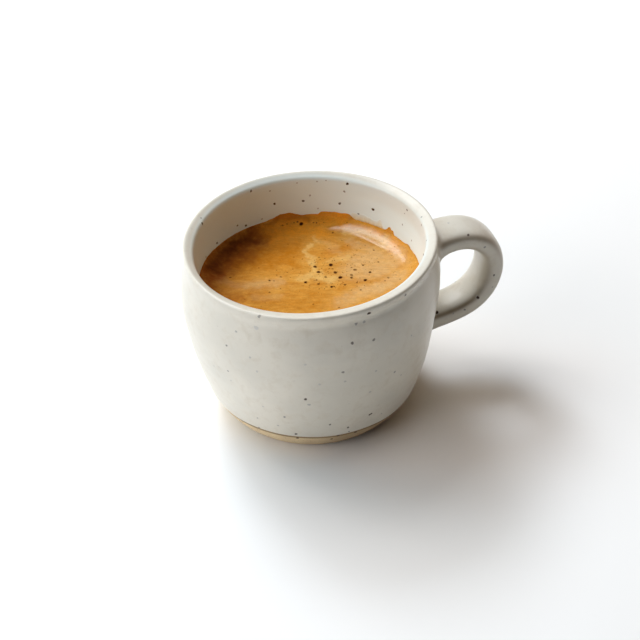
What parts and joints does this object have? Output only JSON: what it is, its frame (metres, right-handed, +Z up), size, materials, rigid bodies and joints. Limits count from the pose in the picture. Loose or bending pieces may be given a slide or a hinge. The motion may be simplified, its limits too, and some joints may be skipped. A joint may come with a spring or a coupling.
{
  "type": "espresso in a cup",
  "caption": "Espresso shot with a marbled tan crema, served in a small hand-thrown stoneware cup with a speckled off-white glaze, a bare clay foot and a strap handle.",
  "frame": {"origin": "centre of the flat underside of the cup's foot, on the table", "axes": "+Z up along the cup's axis, +X towards the handle"},
  "size_m": [0.088, 0.0678, 0.0514],
  "materials": {
    "stoneware": "satin speckled glaze",
    "espresso": "liquid, almost black brown",
    "crema": "fine wet foam, marbled tan and amber"
  },
  "bodies": {
    "root": {"cup": "stoneware", "espresso": "espresso", "crema": "crema"}
  },
  "joints": []
}
